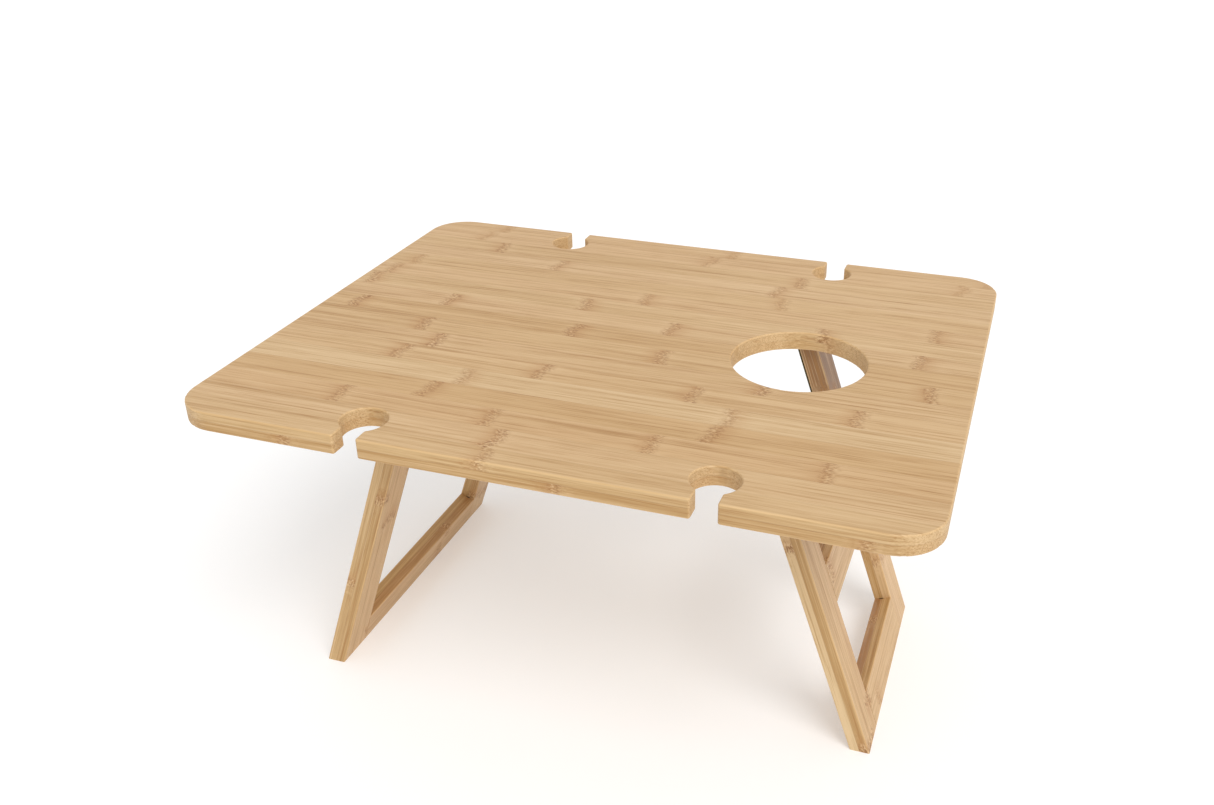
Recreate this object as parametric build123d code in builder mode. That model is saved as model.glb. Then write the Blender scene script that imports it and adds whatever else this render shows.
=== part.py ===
from build123d import *
import os
from math import cos, radians, sin, tan

# Folding side table: a bamboo board on two nesting sled-shaped leg frames, hinged with steel flap hinges.
# Origin at floor level under the board's centre. +X runs along the board, +Y to its back edge, +Z up.
# The wide frame stands at -X and the narrow one at +X. Millimetres throughout.

os.makedirs("parts", exist_ok=True)

# ---- board ----
top_length = 480.0
top_width = 380.0
top_thickness = 13.5
table_height = 250.0
corner_radius = 29.0
edge_round = 1.1

# ---- bottle hole and glass notches ----
bottle_radius = 46.0
bottle_x = 122.5
notch_radius = 15.0
notch_slot_width = 15.7
notch_x = 112.0
notch_inset = 24.0           # long edge to the centre of the round part
notch_corner_round = 1.6

# ---- leg frames ----
splay_deg = 19.3             # lean of both frames from the vertical
foot_x = 206.0               # outer floor edge of each frame from the centre
member_width = 30.0          # seen square on to the frame
member_thickness = 13.3
member_round = 0.8
wide_half = 119.0            # half the wide frame, along Y
nest_gap = 1.5               # the narrow frame folds inside the wide one with this to spare
rail_rise = 107.0            # floor edge to the narrow frame's mid rail, along the frame

# ---- dowels that hold the frame joints ----
dowel_radius = 3.0
dowel_length = 24.0
dowel_pitch = 15.0
dowel_clearance = 0.02
dowel_end_room = 0.5

# ---- hinges ----
leaf_length = 46.0           # from the pin's centre
leaf_width = 24.0
leaf_thickness = 2.0
leaf_corner = 4.0
knuckle_radius = 3.0
knuckle_gap = 0.2            # knuckle to the board and to the post
knuckle_side_gap = 0.3       # between one knuckle and the next
pin_radius = 1.5
pin_fixed_clearance = 0.02
pin_running_clearance = 0.06
pin_overhang = 0.7
pin_chamfer = 0.4

# ---- wood screws ----
screw_head_radius = 2.8
screw_shank_radius = 1.5
screw_head_height = 1.3
screw_length = 10.5
screw_tip = 2.5
screw_seat_gap = 0.05        # head to its countersink
pilot_clearance = 0.02
pilot_end_room = 0.4
recess_width = 0.7
recess_span = 3.0
recess_depth = 0.8
screw_root = 9.7             # from the knuckle side of the leaf's plate to the first screw
screw_edge = 6.0             # from the leaf's free end and its sides to the nearest screw

# ---- worked out ----
splay = radians(splay_deg)
underside = table_height - top_thickness
narrow_half = wide_half - member_width - nest_gap
pin_drop = knuckle_radius + knuckle_gap
member_reach = table_height / cos(splay) + member_width
pivot_z = underside - pin_drop
inner_top_x = foot_x - underside * tan(splay) - member_thickness / cos(splay)
pivot_x = inner_top_x + pin_drop * tan(splay) - pin_drop / cos(splay)
knuckle_length = (leaf_width - 2 * knuckle_side_gap) / 3
leaf_start = knuckle_radius + knuckle_side_gap
first_screw = leaf_start + screw_root
last_screw = leaf_length - screw_edge
screw_aside = leaf_width / 2 - screw_edge
screw_places = [                # along the leaf from the pin, across the leaf
    (first_screw, -screw_aside),
    ((first_screw + last_screw) / 2, screw_aside),
    (last_screw, -screw_aside),
]
pilot_depth = screw_length - leaf_thickness + pilot_end_room
notch_y = top_width / 2 - notch_inset
WIDE, NARROW = -1, 1         # side of the board along X


def write(builder, label):
    """Label a finished piece and write it."""
    builder.part.label = label
    export_step(builder.part, f"parts/{label}.step")


def up_along(side):
    """Direction up a frame's face, square to Y."""
    return Vector(-side * sin(splay), 0, cos(splay))


def outward(side):
    """Direction out of a frame's outer face."""
    return Vector(side * cos(splay), 0, sin(splay))


def frame_point(side, y, rise, depth=0.0):
    """Point on a frame: y across it, rise up its outer face from the floor edge, depth in from that face."""
    return Vector(side * foot_x, y, 0) + up_along(side) * rise - outward(side) * depth


def frame_plane(side):
    """Outer face of a frame, with local x along +Y and local y up the frame."""
    return Plane(origin=frame_point(side, 0, 0), x_dir=(0, 1, 0), z_dir=outward(side) * side)


def bar(side, y_span, rise_span, along, dowel_places, pilot_places):
    """One straight member of a frame: cut to the floor and to the board, eased and drilled."""
    with BuildPart() as member:
        with BuildSketch(frame_plane(side)):
            with Locations((sum(y_span) / 2, sum(rise_span) / 2)):
                Rectangle(y_span[1] - y_span[0], rise_span[1] - rise_span[0])
        extrude(amount=-side * member_thickness)
        fillet(member.edges().filter_by(Axis((0, 0, 0), along)), radius=member_round)
        split(bisect_by=Plane.XY, keep=Keep.TOP)
        split(bisect_by=Plane.XY.offset(underside), keep=Keep.BOTTOM)
        for place in dowel_places:
            with BuildSketch(place):
                Circle(dowel_radius + dowel_clearance)
            extrude(amount=dowel_length / 2 + dowel_end_room, both=True, mode=Mode.SUBTRACT)
        for place in pilot_places:
            with BuildSketch(place):
                Circle(screw_shank_radius + pilot_clearance)
            extrude(amount=-pilot_depth, mode=Mode.SUBTRACT)
    return member


def dowel_planes(side, y_joint, rise):
    """Planes square to Y through the centres of a joint's dowels."""
    rises = [rise + member_width / 2 + step * dowel_pitch / 2 for step in (-1, 1)]
    centres = [frame_point(side, y_joint, place, member_thickness / 2) for place in rises]
    return [Plane(origin=centre, x_dir=up_along(side), z_dir=(0, 1, 0)) for centre in centres]


def joint_planes(side, half, rises):
    """Dowel planes of every joint on one frame, at both of its posts."""
    inner = half - member_width
    return [plane for y in (-inner, inner) for rise in rises for plane in dowel_planes(side, y, rise)]


def leg_leaf_plane(side, y):
    """Plane on a post's inner face at the pin's height: local x down the post, local z off the face."""
    foot_of_pin = Vector(side * pivot_x, y, pivot_z) + outward(side) * pin_drop
    return Plane(origin=foot_of_pin, x_dir=-up_along(side), z_dir=-outward(side))


def board_leaf_plane(side, y):
    """Plane on the board's underside over the pin: local x towards the board's middle, local z down."""
    return Plane(origin=(side * pivot_x, y, underside), x_dir=(-side, 0, 0), z_dir=(0, 0, -1))


def screw_planes(leaf_planes):
    """Planes at the screw places of the given leaves, on the face that the leaf lies on."""
    places = []
    for plane in leaf_planes:
        for along, across in screw_places:
            centre = plane.from_local_coords(Vector(along, across, 0))
            places.append(Plane(origin=centre, x_dir=plane.x_dir, z_dir=plane.z_dir))
    return places


def hinge_leaf(plane, knuckle_steps, pin_clearance):
    """A flap: a plate with its knuckles curled round the pin. Steps are knuckle places along the pin."""
    with BuildPart() as leaf:
        with BuildSketch(plane):
            with Locations(((leaf_start + leaf_length) / 2, 0)):
                Rectangle(leaf_length - leaf_start, leaf_width)
        extrude(amount=leaf_thickness)
        upright = leaf.edges().filter_by(Axis((0, 0, 0), plane.z_dir))
        fillet(upright.sort_by(Axis(plane.origin, plane.x_dir))[-2:], radius=leaf_corner)
        for step in knuckle_steps:
            middle = plane.from_local_coords(Vector(0, step * (knuckle_length + knuckle_side_gap), 0))
            section = Plane(origin=middle, x_dir=plane.x_dir, z_dir=plane.x_dir.cross(plane.z_dir))
            rise = -1 if section.y_dir.dot(plane.z_dir) < 0 else 1
            with BuildSketch(section):
                with Locations((0, rise * pin_drop)):
                    Circle(knuckle_radius)
                with Locations((leaf_start / 2, rise * leaf_thickness / 2)):
                    Rectangle(leaf_start, leaf_thickness)
            extrude(amount=knuckle_length / 2, both=True)
        pin_axis = Plane(
            origin=plane.from_local_coords(Vector(0, 0, pin_drop)), x_dir=plane.x_dir, z_dir=(0, 1, 0)
        )
        with BuildSketch(pin_axis):
            Circle(pin_radius + pin_clearance)
        extrude(amount=leaf_width, both=True, mode=Mode.SUBTRACT)
        for seat in screw_planes([plane]):
            with BuildSketch(seat):
                Circle(screw_shank_radius + screw_seat_gap)
            extrude(amount=leaf_thickness, mode=Mode.SUBTRACT)
            with BuildSketch(seat.offset(leaf_thickness)):
                Circle(screw_head_radius + screw_seat_gap)
            with BuildSketch(seat.offset(leaf_thickness - screw_head_height)):
                Circle(screw_shank_radius + screw_seat_gap)
            loft(mode=Mode.SUBTRACT)
    return leaf


# ---- one screw, its seat on Z = 0 and its head up ----
with BuildPart() as screw:
    with BuildSketch(Plane.XZ):
        with BuildLine():
            Polyline(
                (0, leaf_thickness),
                (screw_head_radius, leaf_thickness),
                (screw_shank_radius, leaf_thickness - screw_head_height),
                (screw_shank_radius, leaf_thickness - screw_length + screw_tip),
                (0, leaf_thickness - screw_length),
                close=True,
            )
        make_face()
    revolve(axis=Axis.Z)
    with BuildSketch(Plane.XY.offset(leaf_thickness)):
        Rectangle(recess_span, recess_width)
        Rectangle(recess_width, recess_span)
    extrude(amount=-recess_depth, mode=Mode.SUBTRACT)


def screw_group(planes, label):
    """A node of identical screws."""
    with BuildPart() as group:
        with Locations(*[Location(plane) for plane in planes]):
            add(screw.part)
    write(group, label)


# ---- where each hinge sits: the middle of its post ----
hinge_y = {WIDE: wide_half - member_width / 2, NARROW: narrow_half - member_width / 2}
hinges = [
    ("wide_front", WIDE, -hinge_y[WIDE]),
    ("wide_rear", WIDE, hinge_y[WIDE]),
    ("narrow_front", NARROW, -hinge_y[NARROW]),
    ("narrow_rear", NARROW, hinge_y[NARROW]),
]
board_leaf_planes = [board_leaf_plane(side, y) for name, side, y in hinges]

# ---- board ----
with BuildPart() as tabletop:
    with BuildSketch(Plane.XY.offset(underside)) as outline:
        RectangleRounded(top_length, top_width, corner_radius)
        with Locations((bottle_x, 0)):
            Circle(bottle_radius, mode=Mode.SUBTRACT)
        with GridLocations(2 * notch_x, 2 * notch_y, 2, 2):
            Circle(notch_radius, mode=Mode.SUBTRACT)
        with GridLocations(2 * notch_x, top_width, 2, 2):
            Rectangle(notch_slot_width, 2 * notch_inset, mode=Mode.SUBTRACT)
        beside_notch = [v for v in outline.vertices() if abs(abs(v.X) - notch_x) < notch_radius]
        slot_corners = [v for v in beside_notch if abs(v.Y) > notch_y]
        fillet(slot_corners, radius=notch_corner_round)
    extrude(amount=top_thickness)
    rims = tabletop.edges().filter_by_position(Axis.Z, table_height, table_height)
    rims += tabletop.edges().filter_by_position(Axis.Z, underside, underside)
    fillet(rims, radius=edge_round)
    for place in screw_planes(board_leaf_planes):
        with BuildSketch(place):
            Circle(screw_shank_radius + pilot_clearance)
        extrude(amount=-pilot_depth, mode=Mode.SUBTRACT)
write(tabletop, "tabletop")

# ---- leg frames ----
for frame_name, side, half, rail_rises in (
    ("wide", WIDE, wide_half, []),
    ("narrow", NARROW, narrow_half, [rail_rise]),
):
    rises = [0.0] + rail_rises
    joints = joint_planes(side, half, rises)
    inner_half = half - member_width
    for end, end_name in ((-1, "front"), (1, "rear")):
        y_span = sorted((end * inner_half, end * half))
        pilots = screw_planes([leg_leaf_plane(side, end * hinge_y[side])])
        post = bar(side, y_span, (-member_width, member_reach), up_along(side), joints, pilots)
        write(post, f"{frame_name}_{end_name}_post")
    between = (-inner_half, inner_half)
    runner = bar(side, between, (-member_width, member_width), (0, 1, 0), joints, [])
    write(runner, f"{frame_name}_runner")
    for rise in rail_rises:
        rail = bar(side, between, (rise, rise + member_width), (0, 1, 0), joints, [])
        write(rail, f"{frame_name}_mid_rail")
    with BuildPart() as dowels:
        for plane in joints:
            with BuildSketch(plane):
                Circle(dowel_radius)
            extrude(amount=dowel_length / 2, both=True)
    write(dowels, f"{frame_name}_frame_dowels")

# ---- hinges and their screws ----
for hinge_name, side, y in hinges:
    board_leaf = hinge_leaf(board_leaf_plane(side, y), (-1, 1), pin_fixed_clearance)
    write(board_leaf, f"{hinge_name}_board_leaf")
    leg_leaf = hinge_leaf(leg_leaf_plane(side, y), (0,), pin_running_clearance)
    write(leg_leaf, f"{hinge_name}_leg_leaf")
    with BuildPart() as pin:
        with BuildSketch(Plane(origin=(side * pivot_x, y, pivot_z), x_dir=(1, 0, 0), z_dir=(0, 1, 0))):
            Circle(pin_radius)
        extrude(amount=leaf_width / 2 + pin_overhang, both=True)
        chamfer(pin.edges().filter_by(GeomType.CIRCLE), length=pin_chamfer)
    write(pin, f"{hinge_name}_hinge_pin")

screw_group(screw_planes(board_leaf_planes), "board_screws")
for frame_name, side in (("wide", WIDE), ("narrow", NARROW)):
    leaf_planes = [leg_leaf_plane(side, end * hinge_y[side]) for end in (-1, 1)]
    screw_group(screw_planes(leaf_planes), f"{frame_name}_frame_screws")
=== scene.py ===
from math import cos, radians, sin
from typing import NamedTuple

import bpy
from mathutils import Matrix, Vector


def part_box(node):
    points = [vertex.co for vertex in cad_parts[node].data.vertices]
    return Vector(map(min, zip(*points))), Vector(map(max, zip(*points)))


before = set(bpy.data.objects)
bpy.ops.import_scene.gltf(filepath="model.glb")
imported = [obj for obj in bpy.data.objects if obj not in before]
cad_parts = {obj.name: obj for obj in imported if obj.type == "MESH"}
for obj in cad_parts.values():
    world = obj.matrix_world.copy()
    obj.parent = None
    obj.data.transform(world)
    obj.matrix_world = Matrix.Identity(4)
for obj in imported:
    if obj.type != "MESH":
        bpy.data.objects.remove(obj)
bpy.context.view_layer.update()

MM = 1000.0                 # in a metre
X, Y, Z = (1, 0, 0), (0, 1, 0), (0, 0, 1)


class Pattern(NamedTuple):
    """A pattern's repeats per mm along the grain, across it and through, then its detail and roughness."""
    along: float
    across: float
    through: float
    detail: float = 2.0
    rough: float = 0.5


# ---- camera ----
CAMERA_PLACE = (0.2588, -0.7031, 0.5895)
CAMERA_AZIMUTH = 18.68      # degrees round from the front
CAMERA_ELEVATION = 28.37
CAMERA_ROLL = -0.11
CAMERA_LENS = 34.56         # mm
CAMERA_SENSOR = 36.0        # mm
CAMERA_SHIFT = (-0.0409, 0.0125)
CAMERA_NEAR = 0.01

# ---- light and floor ----
ROOM_LIGHT = 0.74
KEY_LIGHT = 1.65
KEY_FROM = (1.3, -1.2, 1.9)
KEY_SOFTNESS = 35.0         # degrees across
FLOOR_HALF = 40.0
FLOOR_GREYS = (0.71, 0.71, 0.71), (0.73, 0.73, 0.73)
FLOOR_MOTTLE = 3.0          # repeats per metre
FLOOR_DETAIL = 3.0
FLOOR_ROUGHNESS = 0.65
FLOOR_GLOSS = 0.2
FLOOR_GLOW = 0.30           # lifts the lit floor to white

# ---- the frames' lean and plies, as the CAD has them ----
SPLAY = radians(19.3)
SIDES = {"wide": -1, "narrow": 1}
MEMBER_THICKNESS = 13.3     # mm

# ---- colours of bamboo ----
BLOND = (0.665, 0.480, 0.260)      # the lightest ply
STRAW = (0.590, 0.385, 0.190)      # a light strip
WHEAT = (0.545, 0.355, 0.160)      # a little yellower
HONEY = (0.470, 0.285, 0.112)      # darker and yellower still
ROSE = (0.610, 0.378, 0.200)       # a pinker one
AMBER = (0.430, 0.235, 0.095)      # a lightly steamed one
CARAMEL = (0.350, 0.178, 0.078)    # a steamed, brown one
BOARD_SHADE_BROWN = (0.265, 0.140, 0.058)     # browner still; only the painted shade under the board uses it
PALE_FIBRE = (0.690, 0.480, 0.262)
DARK_FIBRE = (0.360, 0.178, 0.052)
# painted shade inside a glued joint that has opened
OPEN_JOINT_SHADE = (0.030, 0.014, 0.006)
NODE_HAZE = (0.440, 0.220, 0.078)
NODE_BROWN = (0.250, 0.108, 0.034)
NODE_PALE = (0.730, 0.530, 0.310)
# painted highlight along eased edges
RIM_HIGHLIGHT_GOLD = (0.780, 0.520, 0.250)
GLUE_BROWN = (0.300, 0.165, 0.070)
TINT_POWERS = (0.56, 1.7)          # red and blue of a strip's tint against green: a darker one is yellower

# ---- strips and plies, in mm ----
BOARD_STRIP = 23.0                 # across one strip of the board
BOARD_SEAM = 10.0                  # from the board's middle to a seam
SEAM_STRIP = 9.0                   # the list number of the strip behind that seam
FRAME_STRIP = 19.0
SEAM_STEP = 4.7                    # how far the seams move on from member to member
LOWER_PLY_SHIFT = 0.41             # of a strip's width
UPPER_PLY_SHARE = 0.47             # of the board's thickness
MEMBER_PLIES = {                   # inner and outer ply of each frame member
    "wide_front_post": (HONEY, WHEAT),
    "wide_rear_post": (AMBER, HONEY),
    "wide_runner": (AMBER, WHEAT),
    "narrow_front_post": (BLOND, HONEY),
    "narrow_rear_post": (HONEY, STRAW),
    "narrow_runner": (CARAMEL, HONEY),
    "narrow_mid_rail": (CARAMEL, WHEAT),
}
BOARD_SHADE_HEIGHTS = {"narrow_rear_post": (105.0, 175.0)}    # above the floor, where painted shade under the board starts to darken the strips and is full, upwards
PALE_END = (-20.0, 230.0)          # from the board's middle, where it turns a little paler along X

# The board's strips from the front edge to the back: tone, first node and node spacing in mm along X.
BOARD_STRIPS = [
    (1.01, -25, 300), (1.02, -25, 300), (0.98, -145, 105), (0.96, -95, 190), (1.04, -80, 180),
    (1.00, -140, 105), (1.01, -125, 235), (0.99, -145, 180), (0.97, -215, 175), (1.01, -150, 175),
    (1.01, -230, 180), (1.00, -225, 215), (0.99, -215, 305), (1.02, -100, 180), (1.00, -160, 255),
    (1.00, -185, 200), (0.99, -175, 205),
]
LISTED_CONTRAST = 2.2              # power of a listed tone
RAMP_TONE = 2.0                    # a ramp holds 0 to 1, so tones are stored as a share of this,
RAMP_MIDDLE = 0.5                  # and places in metres from this far back

# What is random about a strip: the least, and how much more at most.
RANDOM_TONE = (0.965, 0.07)
RANDOM_FIRST = (0.0, 400.0)
RANDOM_SPACING = (130.0, 90.0)
HASH_PLY, HASH_SEED = 7.0, 3.1                         # set plies and members apart in the hashes
STRIP_APART, PLY_APART, SEED_APART = 31.7, 11.3, 17.0  # repeats between their places in a pattern

# ---- patterns ----
BANDS = Pattern(0.004, 0.16, 0.16, 2.0, 0.55)
STREAKS = Pattern(0.010, 0.75, 0.75, 3.0, 0.68)
THREADS = Pattern(0.035, 2.4, 2.4, 2.0, 0.65)
BUNDLES = Pattern(0.10, 1.5, 1.3)
WARMTH = Pattern(0.004, 0.09, 0.1, 1.0)
DASHES = Pattern(0.34, 1.10, 1.0, 2.0, 0.7)
# noise that varies the painted highlight along eased edges
RIM_HIGHLIGHT_NOISE = Pattern(0.05, 0.3, 0.3, 3.0)
# For a node's line: repeats per mm across, per strip, and per mm through, then detail and roughness.
DRIFT = (0.09, 5.7, 0.1, 1.0, 0.5)
SCALLOP = (0.38, 9.1, 0.3, 2.0, 0.6)
SWIRL = (0.13, 0.20, 3.3)          # repeats per mm along, per mm across, and per strip

DRIFT_MM = 15.0                    # how far each one moves the line along the grain
SCALLOP_MM = 4.5
SWIRL_MM = 5.0                     # how far fibres bend aside at a node
NODE_REACH = (17.0, 1.0)           # mm from its line, where a node's haze starts and is full
NODE_LINE = (7.0, 1.5)             # and its marks
HAZE_TURN = (-3.0, 3.0)            # mm across its line, from the clear side to the hazy one

# ---- where masks start and are full ----
FLAT_FACE = (0.45, 0.95)
UPWARD_FACE = (0.5, 0.9)
END_FACE = (0.20, 0.60)
PINK_STRIPS = (0.3, 1.0)
WARM_PATCHES = (0.45, 0.75)
DARK_THREADS = (0.56, 0.72)
DARK_DASHES = (0.47, 0.62)
PALE_DASHES = (0.48, 0.36)
PORES = (0.60, 0.20)
GLUE_LINE = (0.40, 0.05)           # mm from the plies' joint
SEAM_WIDTH = 0.30                  # mm, each side
OPEN_JOINT_SIZE = (1.30, 2.2)      # mm along the grain and through
OPEN_JOINT_EDGE = (1.3, 0.5)       # squares of how far out in that oval the painted shade starts and is full
OPEN_JOINT_INWARD = 1.0            # mm into the frame from the plies' joint

# ---- how much of each colour shows ----
SHARES = {
    "rose": 0.45, "cast": 0.75, "upper cast": 0.05, "warm": 0.30, "pale end": 0.20, "pale fibre": 0.75,
    "dark thread": 0.42, "node haze": 0.50, "clear side": 0.18, "node line": 0.30, "dark dash": 0.85,
    "pale dash": 0.75, "seam": 0.20, "glue": 0.32, "pore": 0.36, "end grain": 0.42, "rim_highlight": 0.30,
}
FIBRE_WEIGHTS = (3.7, 1.5, 1.3)    # of streaks, bands and threads
FIBRE_LEVEL = -0.03                # a little paler all over
WARM_LUCK = 0.25                   # how much a strip's luck counts in the warm patches
NODE_STRENGTH = (0.45, 0.55)       # the faintest, and how much more at most
# the painted highlight along eased edges: its least strength, and how much more the noise adds
RIM_HIGHLIGHT_STRENGTH = (0.6, 0.8)
RIM_SCALE = 4.0                    # brings face * (1 - face) to 1 at its highest

# ---- lacquer ----
LACQUER = 0.43                     # roughness
LACQUER_GLOSS = 0.4
ROUGHER = {"threads": 0.25, "end grain": 0.16, "node": 0.08, "rim_highlight": 0.06}
RELIEF = {"threads": 0.35, "streaks": 0.30, "dashes": 1.2, "seam": 0.5, "glue": 0.5, "pores": 0.8}
RELIEF_MM = 0.12

# ---- beech dowels ----
DOWEL_GRAIN = (2.0, 0.05, 2.0)     # repeats per mm along X, Y and Z
DOWEL_DETAIL = 3.0
DOWEL_COLOURS = (0.70, 0.52, 0.33), (0.56, 0.38, 0.21)
DOWEL_ROUGHNESS = (0.5, 0.2)
DOWEL_RELIEF_MM = 0.1

# ---- steel: colours, roughness and brush marks per mm along X, Y and Z ----
YELLOW_ZINC = (0.50, 0.42, 0.22), (0.68, 0.60, 0.36), 0.30, (0.3, 6.0, 0.3)
PIN_STEEL = (0.55, 0.55, 0.54), (0.72, 0.72, 0.70), 0.24, (4.0, 0.3, 4.0)
SCREW_STEEL = (0.52, 0.50, 0.44), (0.70, 0.68, 0.60), 0.30, (1.5, 1.5, 1.5)
# a plate's edge: painted shadow at its back, and a painted reflection of the wood beyond
EDGE_SHADOW_DARK = (0.020, 0.015, 0.011)
EDGE_REFLECTION_OLIVE = (0.150, 0.125, 0.055)
SHEARED_ROUGHNESS = 0.75
SHEARED_FACE = (0.6, 0.3)          # where a plate's surface counts as its edge
SHADOWED_HALF = (1.25, 1.05)           # mm from the plate's back, where the painted shadow ends
SHADOW_WAVER = 0.3
BRUSH_DETAIL, BRUSH_ROUGH = 4.0, 0.65
BLOTCH_DETAIL, BLOTCH_ROUGH, BLOTCH_SCALE = 3.0, 0.55, 0.13
PIT_SCALE = 2.2
PIT_EDGE = (0.22, 0.05)
PIT_DEPTH = 0.6
PLATING_TURN = (0.35, 0.65)
BRUSH_ROUGHER, BLOTCH_ROUGHER = 0.25, 0.2
STEEL_RELIEF_MM = 0.03


class Field:
    """A value worked out at each point of a surface. Its arithmetic adds shader nodes."""

    def __init__(self, paint, socket):
        self.paint = paint
        self.socket = socket

    def __add__(self, other):
        return self.paint.math("ADD", self, other)

    def __sub__(self, other):
        return self.paint.math("SUBTRACT", self, other)

    def __rsub__(self, other):
        return self.paint.math("SUBTRACT", other, self)

    def __mul__(self, other):
        return self.paint.math("MULTIPLY", self, other)

    def __truediv__(self, other):
        return self.paint.math("DIVIDE", self, other)

    def size(self):
        return self.paint.math("ABSOLUTE", self)

    def power(self, exponent):
        return self.paint.math("POWER", self, exponent)

    def above(self, edge):
        return self.paint.math("GREATER_THAN", self, edge)

    __radd__ = __add__


class Paint:
    """One material under construction."""

    def __init__(self, name):
        self.material = bpy.data.materials.new(name)
        self.material.use_nodes = True
        self.tree = self.material.node_tree
        self.tree.nodes.clear()
        self.places = self.node("ShaderNodeTexCoord")

    def node(self, kind, inputs=None, **settings):
        made = self.tree.nodes.new(kind)
        for name, value in settings.items():
            setattr(made, name, value)
        for name, value in (inputs or {}).items():
            self.feed(made.inputs[name], value)
        return made

    def feed(self, socket, value):
        if isinstance(value, Field):
            self.tree.links.new(value.socket, socket)
        elif isinstance(value, tuple) and len(value) == 3 and len(socket.default_value) == 4:
            socket.default_value = (*value, 1.0)
        else:
            socket.default_value = value

    def math(self, operation, a, b=0.0, c=0.0):
        made = self.node("ShaderNodeMath", {0: a, 1: b, 2: c}, operation=operation)
        return Field(self, made.outputs[0])

    def part_of(self, output, direction):
        """A texture coordinate's part along a direction."""
        place = Field(self, self.places.outputs[output])
        made = self.node("ShaderNodeVectorMath", {0: place, 1: tuple(direction)}, operation="DOT_PRODUCT")
        return Field(self, made.outputs["Value"])

    def along(self, direction):
        """How far each point lies along a direction, in mm."""
        return self.part_of("Object", direction) * MM

    def facing(self, direction):
        """How much the surface faces along a direction, from -1 to 1."""
        return self.part_of("Normal", direction)

    def join(self, x, y, z):
        return Field(self, self.node("ShaderNodeCombineXYZ", {0: x, 1: y, 2: z}).outputs[0])

    def noise(self, place, detail=2.0, rough=0.5, scale=1.0):
        made = self.node("ShaderNodeTexNoise", {"Vector": place, "Scale": scale, "Detail": detail,
                                                "Roughness": rough})
        return Field(self, made.outputs["Fac"])

    def cells(self, place, scale=1.0):
        """How far the middle of the nearest cell is."""
        made = self.node("ShaderNodeTexVoronoi", {"Vector": place, "Scale": scale})
        return Field(self, made.outputs["Distance"])

    def split(self, colour):
        """A colour's three parts."""
        made = self.node("ShaderNodeSeparateColor", {0: Field(self, colour)})
        return [Field(self, output) for output in made.outputs]

    def hashes(self, place):
        """Three even random numbers for each whole-number place."""
        made = self.node("ShaderNodeTexWhiteNoise", {"Vector": place}, noise_dimensions="3D")
        return self.split(made.outputs["Color"])

    def fade(self, value, start, end):
        """Smooth step from 0 at start to 1 at end."""
        made = self.node("ShaderNodeMapRange", {0: value, 1: start, 2: end},
                         interpolation_type="SMOOTHSTEP")
        return Field(self, made.outputs[0])

    def mix(self, share, a, b, how="MIX"):
        made = self.node("ShaderNodeMix", data_type="RGBA", blend_type=how)
        for name, value in (("Factor_Float", share), ("A_Color", a), ("B_Color", b)):
            socket = next(s for s in made.inputs if s.identifier == name)
            self.feed(socket, value)
        return Field(self, next(s for s in made.outputs if s.identifier == "Result_Color"))

    def pick(self, one, other, switch):
        """one where switch is 0, other where it is 1."""
        return one + (other - one) * switch

    def tint(self, tone):
        """The colour that darkens or lightens a strip to its tone."""
        red, blue = [tone.power(exponent) for exponent in TINT_POWERS]
        return Field(self, self.node("ShaderNodeCombineColor", {0: red, 1: tone, 2: blue}).outputs[0])

    def done(self, colour, roughness, height=None, relief_mm=0.0, **constants):
        shader = self.node("ShaderNodeBsdfPrincipled")
        self.feed(shader.inputs["Base Color"], colour)
        self.feed(shader.inputs["Roughness"], roughness)
        for name, value in constants.items():
            shader.inputs[name.replace("_", " ")].default_value = value
        if height is not None:
            bump = self.node("ShaderNodeBump", {"Height": height, "Strength": 1.0,
                                                "Distance": relief_mm / MM})
            self.feed(shader.inputs["Normal"], Field(self, bump.outputs[0]))
        output = self.node("ShaderNodeOutputMaterial")
        self.tree.links.new(shader.outputs[0], output.inputs[0])
        return self.material


def listed_strip(paint, number):
    """Tone, first node and node spacing of the board's listed strips, by strip number from the front."""
    count = len(BOARD_STRIPS)
    ramp = paint.node("ShaderNodeValToRGB", {0: (number + 0.5) / count})
    stops = ramp.color_ramp
    stops.interpolation = "CONSTANT"
    while len(stops.elements) < count:
        stops.elements.new(1.0)
    for stop, (place, (tone, first, spacing)) in zip(stops.elements, enumerate(BOARD_STRIPS)):
        stop.position = place / count
        stop.color = (tone / RAMP_TONE, first / MM + RAMP_MIDDLE, spacing / MM, 1.0)
    tone, first, spacing = paint.split(ramp.outputs["Color"])
    return tone * RAMP_TONE, (first - RAMP_MIDDLE) * MM, spacing * MM


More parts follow.
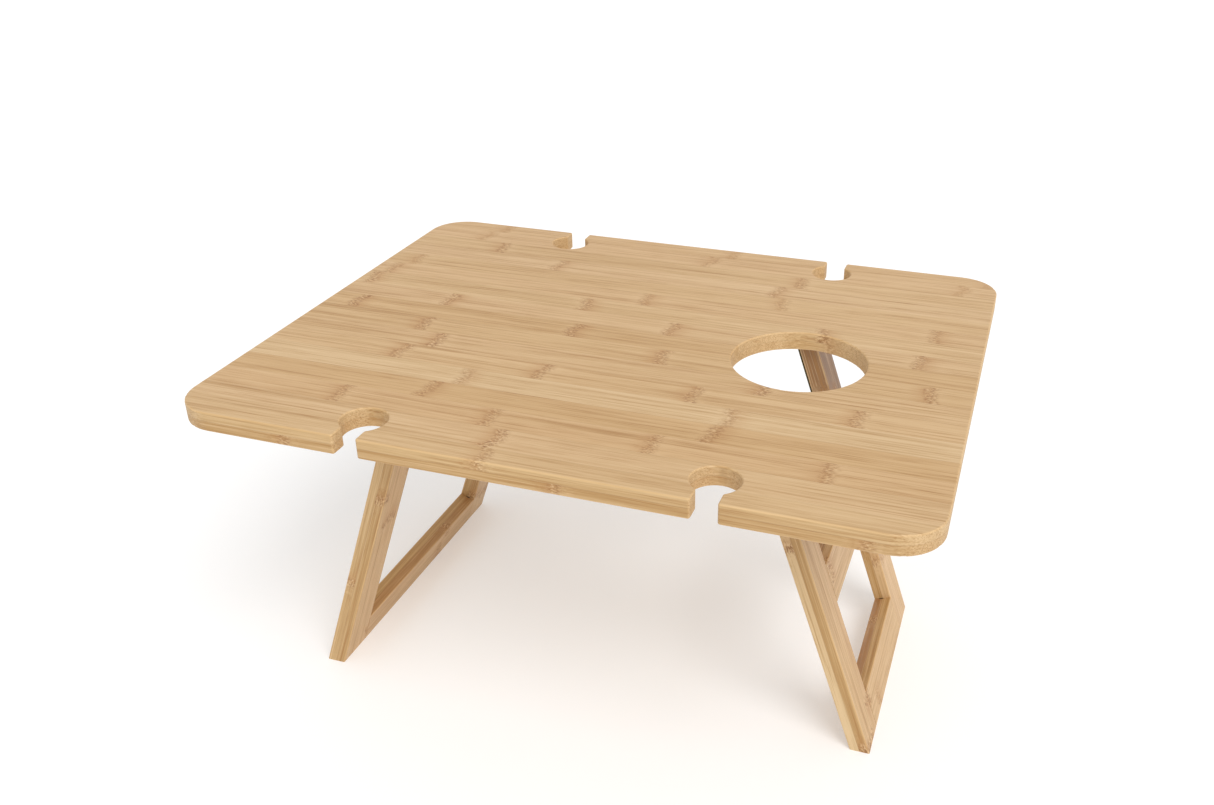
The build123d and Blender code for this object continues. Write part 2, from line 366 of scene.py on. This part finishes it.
class Bamboo:
    """Pressed bamboo strips in two plies, with grain, across and through as unit directions."""

    def __init__(self, name, grain, across, through, seed):
        self.paint = Paint(name)
        self.g, self.w, self.t = [self.paint.along(axis) for axis in (grain, across, through)]
        self.face = self.paint.facing(through).size()
        self.end = self.paint.facing(grain).size()
        self.across = across
        self.seed = seed

    def lay_strips(self, ply_edge, width, start, listed):
        """Finds each point's strip. ply_edge is the glue line's place along through, start one seam's
        place along across. Returns the strip's tone, first node and node spacing."""
        paint = self.paint
        self.ply_edge, self.strip_width = ply_edge, width
        self.upper = self.t.above(ply_edge)
        shifted = self.w - start + (1.0 - self.upper) * LOWER_PLY_SHIFT * width
        self.strip = paint.math("FLOOR", shifted / width)
        self.in_strip = shifted / width - self.strip
        self.aside = self.strip * STRIP_APART + self.upper * PLY_APART + self.seed * SEED_APART
        self.luck = paint.hashes(paint.join(self.strip, self.upper * HASH_PLY + self.seed,
                                            self.seed * HASH_SEED))
        ranges = (RANDOM_TONE, RANDOM_FIRST, RANDOM_SPACING)
        values = [least + luck * more for (least, more), luck in zip(ranges, self.luck)]
        if listed:
            tone, first, spacing = listed_strip(paint, self.strip + SEAM_STRIP)
            upper_values = (tone.power(LISTED_CONTRAST), first, spacing)
            values = [paint.pick(one, other, self.upper) for one, other in zip(values, upper_values)]
        return values

    def waver(self, across, strip, through, detail, rough):
        """Noise that changes across each strip, to bend a node's line."""
        place = self.paint.join(self.w * across, self.strip * strip, self.t * through + self.seed)
        return self.paint.noise(place, detail, rough)

    def find_nodes(self, first, spacing):
        """How near the nearest node is. Its line bends across the strip, and fibres swirl round it."""
        paint = self.paint
        drift = (self.waver(*DRIFT) - 0.5) * DRIFT_MM
        scallop = (self.waver(*SCALLOP) - 0.5) * SCALLOP_MM
        gap = paint.math("WRAP", self.g - first + drift + scallop, spacing * 0.5, spacing * -0.5)
        self.near = paint.fade(gap.size(), *NODE_REACH)
        self.at_node = paint.fade(gap.size(), *NODE_LINE)
        either_way = self.luck[0].above(0.5) * 2.0 - 1.0
        self.hazy_side = paint.fade(gap * either_way, *HAZE_TURN)
        along, across, strip = SWIRL
        swirl = paint.noise(paint.join(self.g * along, self.w * across, self.strip * strip + self.seed))
        self.bent = self.w + (swirl - 0.5) * self.near * SWIRL_MM

    def spread(self, pattern, across):
        """A place in a pattern, with a stretch of it for each strip."""
        return self.paint.join(self.g * pattern.along + self.aside, across * pattern.across,
                               self.t * pattern.through)

    def run_fibres(self):
        """Broad bands, streaks and threads that follow the bent grain, and dashes at the nodes."""
        self.bands, self.streaks, self.threads, self.warmth = [
            self.paint.noise(self.spread(pattern, self.bent), pattern.detail, pattern.rough)
            for pattern in (BANDS, STREAKS, THREADS, WARMTH)]
        self.dashes = self.paint.noise(self.spread(DASHES, self.w), DASHES.detail, DASHES.rough)

    def colour_strips(self, plies):
        """Each ply's colour, then the strip's own cast where it lies flat, then warm patches."""
        paint = self.paint
        cast = paint.mix(paint.fade(self.luck[1], *PINK_STRIPS) * SHARES["rose"], STRAW, ROSE)
        cast_share = SHARES["cast"] + self.upper * SHARES["upper cast"]
        warmth = self.warmth + (self.luck[2] - 0.5) * WARM_LUCK
        colour = paint.mix(self.upper, *plies)
        colour = paint.mix(paint.fade(self.face, *FLAT_FACE) * cast_share, colour, cast)
        return paint.mix(paint.fade(warmth, *WARM_PATCHES) * SHARES["warm"], colour, HONEY)

    def colour_fibres(self, colour):
        """Darker fibres, paler ones where fibre is below 0, and the thinnest dark ones."""
        paint = self.paint
        weighed = zip((self.streaks, self.bands, self.threads), FIBRE_WEIGHTS)
        fibre = sum([(noise - 0.5) * weight for noise, weight in weighed], FIBRE_LEVEL)
        colour = paint.mix(fibre, colour, DARK_FIBRE)
        colour = paint.mix(fibre * -SHARES["pale fibre"], colour, PALE_FIBRE)
        thin = paint.fade(self.threads, *DARK_THREADS)
        return paint.mix(thin * SHARES["dark thread"], colour, DARK_FIBRE)

    def colour_nodes(self, colour):
        """An orange haze to one side of a node, broken dark dashes and pale specks between them."""
        paint = self.paint
        faintest, more = NODE_STRENGTH
        strength = faintest + self.luck[2] * more
        dark = paint.fade(self.dashes, *DARK_DASHES)
        pale = paint.fade(self.dashes, *PALE_DASHES)
        marks = (
            (self.near * self.hazy_side * strength, "node haze", NODE_HAZE),
            (self.near * (1.0 - self.hazy_side), "clear side", PALE_FIBRE),
            (self.at_node * strength, "node line", NODE_HAZE),
            (self.at_node * dark * strength, "dark dash", NODE_BROWN),
            (self.at_node * pale * strength, "pale dash", NODE_PALE),
        )
        for mask, name, mark in marks:
            colour = paint.mix(mask * SHARES[name], colour, mark)
        return colour

    def colour_edges(self, colour):
        """Glue lines, pores in the end grain, and a painted highlight along eased edges."""
        paint = self.paint
        middle = (self.in_strip - 0.5).size()
        bundles = paint.cells(self.spread(BUNDLES, self.bent))
        highlight_noise = paint.noise(paint.join(self.g * RIM_HIGHLIGHT_NOISE.along, self.w * RIM_HIGHLIGHT_NOISE.across, self.t * RIM_HIGHLIGHT_NOISE.through),
                           RIM_HIGHLIGHT_NOISE.detail)
        least, more = RIM_HIGHLIGHT_STRENGTH
        self.seam = paint.fade(middle, 0.5 - SEAM_WIDTH / self.strip_width, 0.5)
        self.glue = paint.fade((self.t - self.ply_edge).size(), *GLUE_LINE)
        self.end_grain = paint.fade(self.end, *END_FACE)
        self.pores = paint.fade(bundles, *PORES)
        # painted highlight where the surface turns over an eased edge
        self.rim_highlight = self.face * (1.0 - self.face) * RIM_SCALE * (least + highlight_noise * more)
        marks = (
            (self.seam, "seam", GLUE_BROWN),
            (self.glue, "glue", GLUE_BROWN),
            (self.end_grain * self.pores, "pore", DARK_FIBRE),
            (self.end_grain * (1.0 - self.pores), "end grain", PALE_FIBRE),
            (self.rim_highlight, "rim_highlight", RIM_HIGHLIGHT_GOLD),
        )
        for mask, name, mark in marks:
            colour = paint.mix(mask * SHARES[name], colour, mark)
        return colour

    def paint_joint_shade(self, colour, end_g, middle_t):
        """Painted shade where a joint gapes: a thin dark crescent against the post, only on the upward
        side.
        """
        length, width = OPEN_JOINT_SIZE
        along = (self.g - end_g) / length
        through = (self.t - middle_t) / width
        slit = self.paint.fade(along * along + through * through, *OPEN_JOINT_EDGE)
        upward = self.paint.fade(self.paint.facing(self.across), *UPWARD_FACE)
        return self.paint.mix(slit * upward, colour, OPEN_JOINT_SHADE)

    def lacquer(self, colour):
        roughness = LACQUER + (self.threads - 0.5) * ROUGHER["threads"] \
            + self.end_grain * ROUGHER["end grain"] + self.at_node * ROUGHER["node"] \
            - self.rim_highlight * ROUGHER["rim_highlight"]
        height = self.threads * RELIEF["threads"] + self.streaks * RELIEF["streaks"] \
            + self.at_node * (self.dashes - 0.5) * RELIEF["dashes"] - self.seam * RELIEF["seam"] \
            - self.glue * RELIEF["glue"] - self.end_grain * self.pores * RELIEF["pores"]
        return self.paint.done(colour, roughness, height, RELIEF_MM, Specular_IOR_Level=LACQUER_GLOSS)


def bamboo(name, directions, seed, plies, ply_edge, width, start, board=False, board_shade=None,
           shaded_joint=None):
    """A bamboo material. Its next to last argument gives the height where painted shade under the board
    starts to darken the strips and where it is full, and its last where a glued joint has opened, along the
    grain and through, for the painted shade inside it."""
    wood = Bamboo(name, *directions, seed)
    paint = wood.paint
    tone, first, spacing = wood.lay_strips(ply_edge, width, start, board)
    wood.find_nodes(first, spacing)
    wood.run_fibres()
    colour = wood.colour_strips(plies)
    # painted shade under the board: the strips darken upwards between the two heights
    if board_shade:
        colour = paint.mix(paint.fade(paint.along(Z), *board_shade), colour, BOARD_SHADE_BROWN)
    if board:
        colour = paint.mix(paint.fade(wood.g, *PALE_END) * SHARES["pale end"], colour, PALE_FIBRE)
    colour = wood.colour_fibres(colour)
    colour = wood.colour_nodes(colour)
    colour = wood.colour_edges(colour)
    colour = paint.mix(1.0, colour, paint.tint(tone), "MULTIPLY")
    # painted shade in the opened joint
    if shaded_joint:
        colour = wood.paint_joint_shade(colour, *shaded_joint)
    return wood.lacquer(colour)


def frame_directions(side):
    """Up a frame's face and out of it."""
    up = Vector((-side * sin(SPLAY), 0, cos(SPLAY)))
    out = Vector((side * cos(SPLAY), 0, sin(SPLAY)))
    return up, out


def outer_face(side):
    """A frame's outer face along its outward direction, in mm, from its runner's floor edge."""
    runner = "wide_runner" if side < 0 else "narrow_runner"
    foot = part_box(runner)[1 if side > 0 else 0].x
    return Vector((foot, 0, 0)).dot(frame_directions(side)[1]) * MM


def paint_board():
    low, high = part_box("tabletop")
    split = (low.z + (high.z - low.z) * (1 - UPPER_PLY_SHARE)) * MM
    return bamboo("bamboo_board", (X, Y, Z), 1.0, (HONEY, WHEAT), split, BOARD_STRIP, BOARD_SEAM,
                  board=True)


def paint_member(node, seed):
    """The bamboo of one post, runner or rail: its grain follows its length."""
    side = SIDES[node.split("_")[0]]
    up, out = frame_directions(side)
    split = outer_face(side) - MEMBER_THICKNESS / 2
    grain, across = (up, Y) if "post" in node else (Y, up)
    gap = (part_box(node)[1].y * MM, split - OPEN_JOINT_INWARD) if node.endswith("_runner") else None
    return bamboo(f"bamboo_{node}", (grain, across, out), seed, MEMBER_PLIES[node], split, FRAME_STRIP,
                  seed * SEAM_STEP, board_shade=BOARD_SHADE_HEIGHTS.get(node), shaded_joint=gap)


def paint_dowel():
    """Raw beech, with its grain along Y."""
    paint = Paint("dowel_wood")
    place = paint.join(*[paint.along(axis) * often for axis, often in zip((X, Y, Z), DOWEL_GRAIN)])
    fibre = paint.noise(place, DOWEL_DETAIL)
    smooth, more = DOWEL_ROUGHNESS
    return paint.done(paint.mix(fibre, *DOWEL_COLOURS), smooth + fibre * more, fibre, DOWEL_RELIEF_MM)


def paint_steel(name, colour_low, colour_high, roughness, brushed, plate=None):
    """Plated steel: long brush marks, blotches and pits. plate is a sheet's direction, and the place of its
    back along it in mm: its cut edges are rough, with painted shadow at the back and a painted olive
    reflection of the wood beyond."""
    paint = Paint(name)
    place = [paint.along(axis) for axis in (X, Y, Z)]
    brush = paint.noise(paint.join(*[x * often for x, often in zip(place, brushed)]), BRUSH_DETAIL,
                        BRUSH_ROUGH)
    blotch = paint.noise(paint.join(*place), BLOTCH_DETAIL, BLOTCH_ROUGH, BLOTCH_SCALE)
    pits = paint.cells(paint.join(*place), PIT_SCALE)
    plating = paint.fade(brush * 0.5 + blotch * 0.5, *PLATING_TURN)
    colour = paint.mix(plating, colour_low, colour_high)
    rough = roughness + (brush - 0.5) * BRUSH_ROUGHER + (blotch - 0.5) * BLOTCH_ROUGHER
    if plate:
        direction, back = plate
        edge = paint.fade(paint.facing(direction).size(), *SHEARED_FACE)
        depth = (paint.along(direction) - back).size() + (brush - 0.5) * SHADOW_WAVER
        # painted shadow near the plate's back, a painted olive reflection of the wood beyond
        edge_shadow_and_reflection = paint.mix(paint.fade(depth, *SHADOWED_HALF), EDGE_REFLECTION_OLIVE, EDGE_SHADOW_DARK)
        colour = paint.mix(edge, colour, edge_shadow_and_reflection)
        rough = paint.pick(rough, SHEARED_ROUGHNESS, edge)
    height = brush * 0.5 - paint.fade(pits, *PIT_EDGE) * PIT_DEPTH
    return paint.done(colour, rough, height, STEEL_RELIEF_MM, Metallic=1.0)


def paint_leaf(node):
    """Yellow-plated hinge plate, on a post's inner face or under the board."""
    if "leg" in node:
        side = SIDES[node.split("_")[0]]
        plate = (frame_directions(side)[1], outer_face(side) - MEMBER_THICKNESS)
    else:
        plate = (Z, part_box(node)[1].z * MM)
    return paint_steel(f"steel_{node}", *YELLOW_ZINC, plate)


def dress(node, material):
    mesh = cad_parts[node].data
    mesh.materials.clear()
    mesh.materials.append(material)


def paint_floor():
    """White, with the faintest mottle."""
    paint = Paint("floor_white")
    place = paint.join(paint.part_of("Object", X), paint.part_of("Object", Y), 0.0)
    mottle = paint.noise(place, FLOOR_DETAIL, scale=FLOOR_MOTTLE)
    return paint.done(paint.mix(mottle, *FLOOR_GREYS), FLOOR_ROUGHNESS, Specular_IOR_Level=FLOOR_GLOSS,
                      Emission_Color=(1, 1, 1, 1), Emission_Strength=FLOOR_GLOW)


def make_floor():
    mesh = bpy.data.meshes.new("floor")
    corners = [(x * FLOOR_HALF, y * FLOOR_HALF, 0) for x, y in ((-1, -1), (1, -1), (1, 1), (-1, 1))]
    mesh.from_pydata(corners, [], [(0, 1, 2, 3)])
    mesh.materials.append(paint_floor())
    floor = bpy.data.objects.new("floor", mesh)
    bpy.context.scene.collection.objects.link(floor)


def make_light():
    """An even white room, and a large soft key from the right, front and above."""
    scene = bpy.context.scene
    scene.view_settings.view_transform = "Standard"
    scene.world = bpy.data.worlds.new("studio")
    scene.world.use_nodes = True
    background = scene.world.node_tree.nodes["Background"]
    background.inputs["Color"].default_value = (1.0, 1.0, 1.0, 1.0)
    background.inputs["Strength"].default_value = ROOM_LIGHT
    key = bpy.data.objects.new("key", bpy.data.lights.new("key", "SUN"))
    scene.collection.objects.link(key)
    key.data.energy = KEY_LIGHT
    key.data.angle = radians(KEY_SOFTNESS)
    key.rotation_mode = "QUATERNION"
    key.rotation_quaternion = Vector(KEY_FROM).to_track_quat("Z", "Y")


def make_camera():
    azimuth, elevation, roll = [radians(a) for a in (CAMERA_AZIMUTH, CAMERA_ELEVATION, CAMERA_ROLL)]
    back = Vector((sin(azimuth) * cos(elevation), -cos(azimuth) * cos(elevation), sin(elevation)))
    level = Vector((cos(azimuth), sin(azimuth), 0))
    rise = back.cross(level)
    right = level * cos(roll) + rise * sin(roll)
    up = rise * cos(roll) - level * sin(roll)
    camera = bpy.data.objects.new("camera", bpy.data.cameras.new("camera"))
    bpy.context.scene.collection.objects.link(camera)
    turned = Matrix((right, up, back)).transposed().to_4x4()
    camera.matrix_world = Matrix.Translation(CAMERA_PLACE) @ turned
    camera.data.sensor_width = CAMERA_SENSOR
    camera.data.lens = CAMERA_LENS
    camera.data.shift_x, camera.data.shift_y = CAMERA_SHIFT
    camera.data.clip_start = CAMERA_NEAR
    bpy.context.scene.camera = camera


make_camera()
make_light()
make_floor()

WOOD = [name for name in sorted(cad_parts) if name.endswith(("_post", "_runner", "_mid_rail"))]
for seed, name in enumerate(WOOD, start=2):     # the board has seed 1
    dress(name, paint_member(name, float(seed)))
dress("tabletop", paint_board())

dowel_wood = paint_dowel()
pin_steel = paint_steel("pin_steel", *PIN_STEEL)
screw_steel = paint_steel("screw_steel", *SCREW_STEEL)
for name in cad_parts:
    if name.endswith("_dowels"):
        dress(name, dowel_wood)
    elif name.endswith("_leaf"):
        dress(name, paint_leaf(name))
    elif name.endswith("_pin"):
        dress(name, pin_steel)
    elif name.endswith("_screws"):
        dress(name, screw_steel)
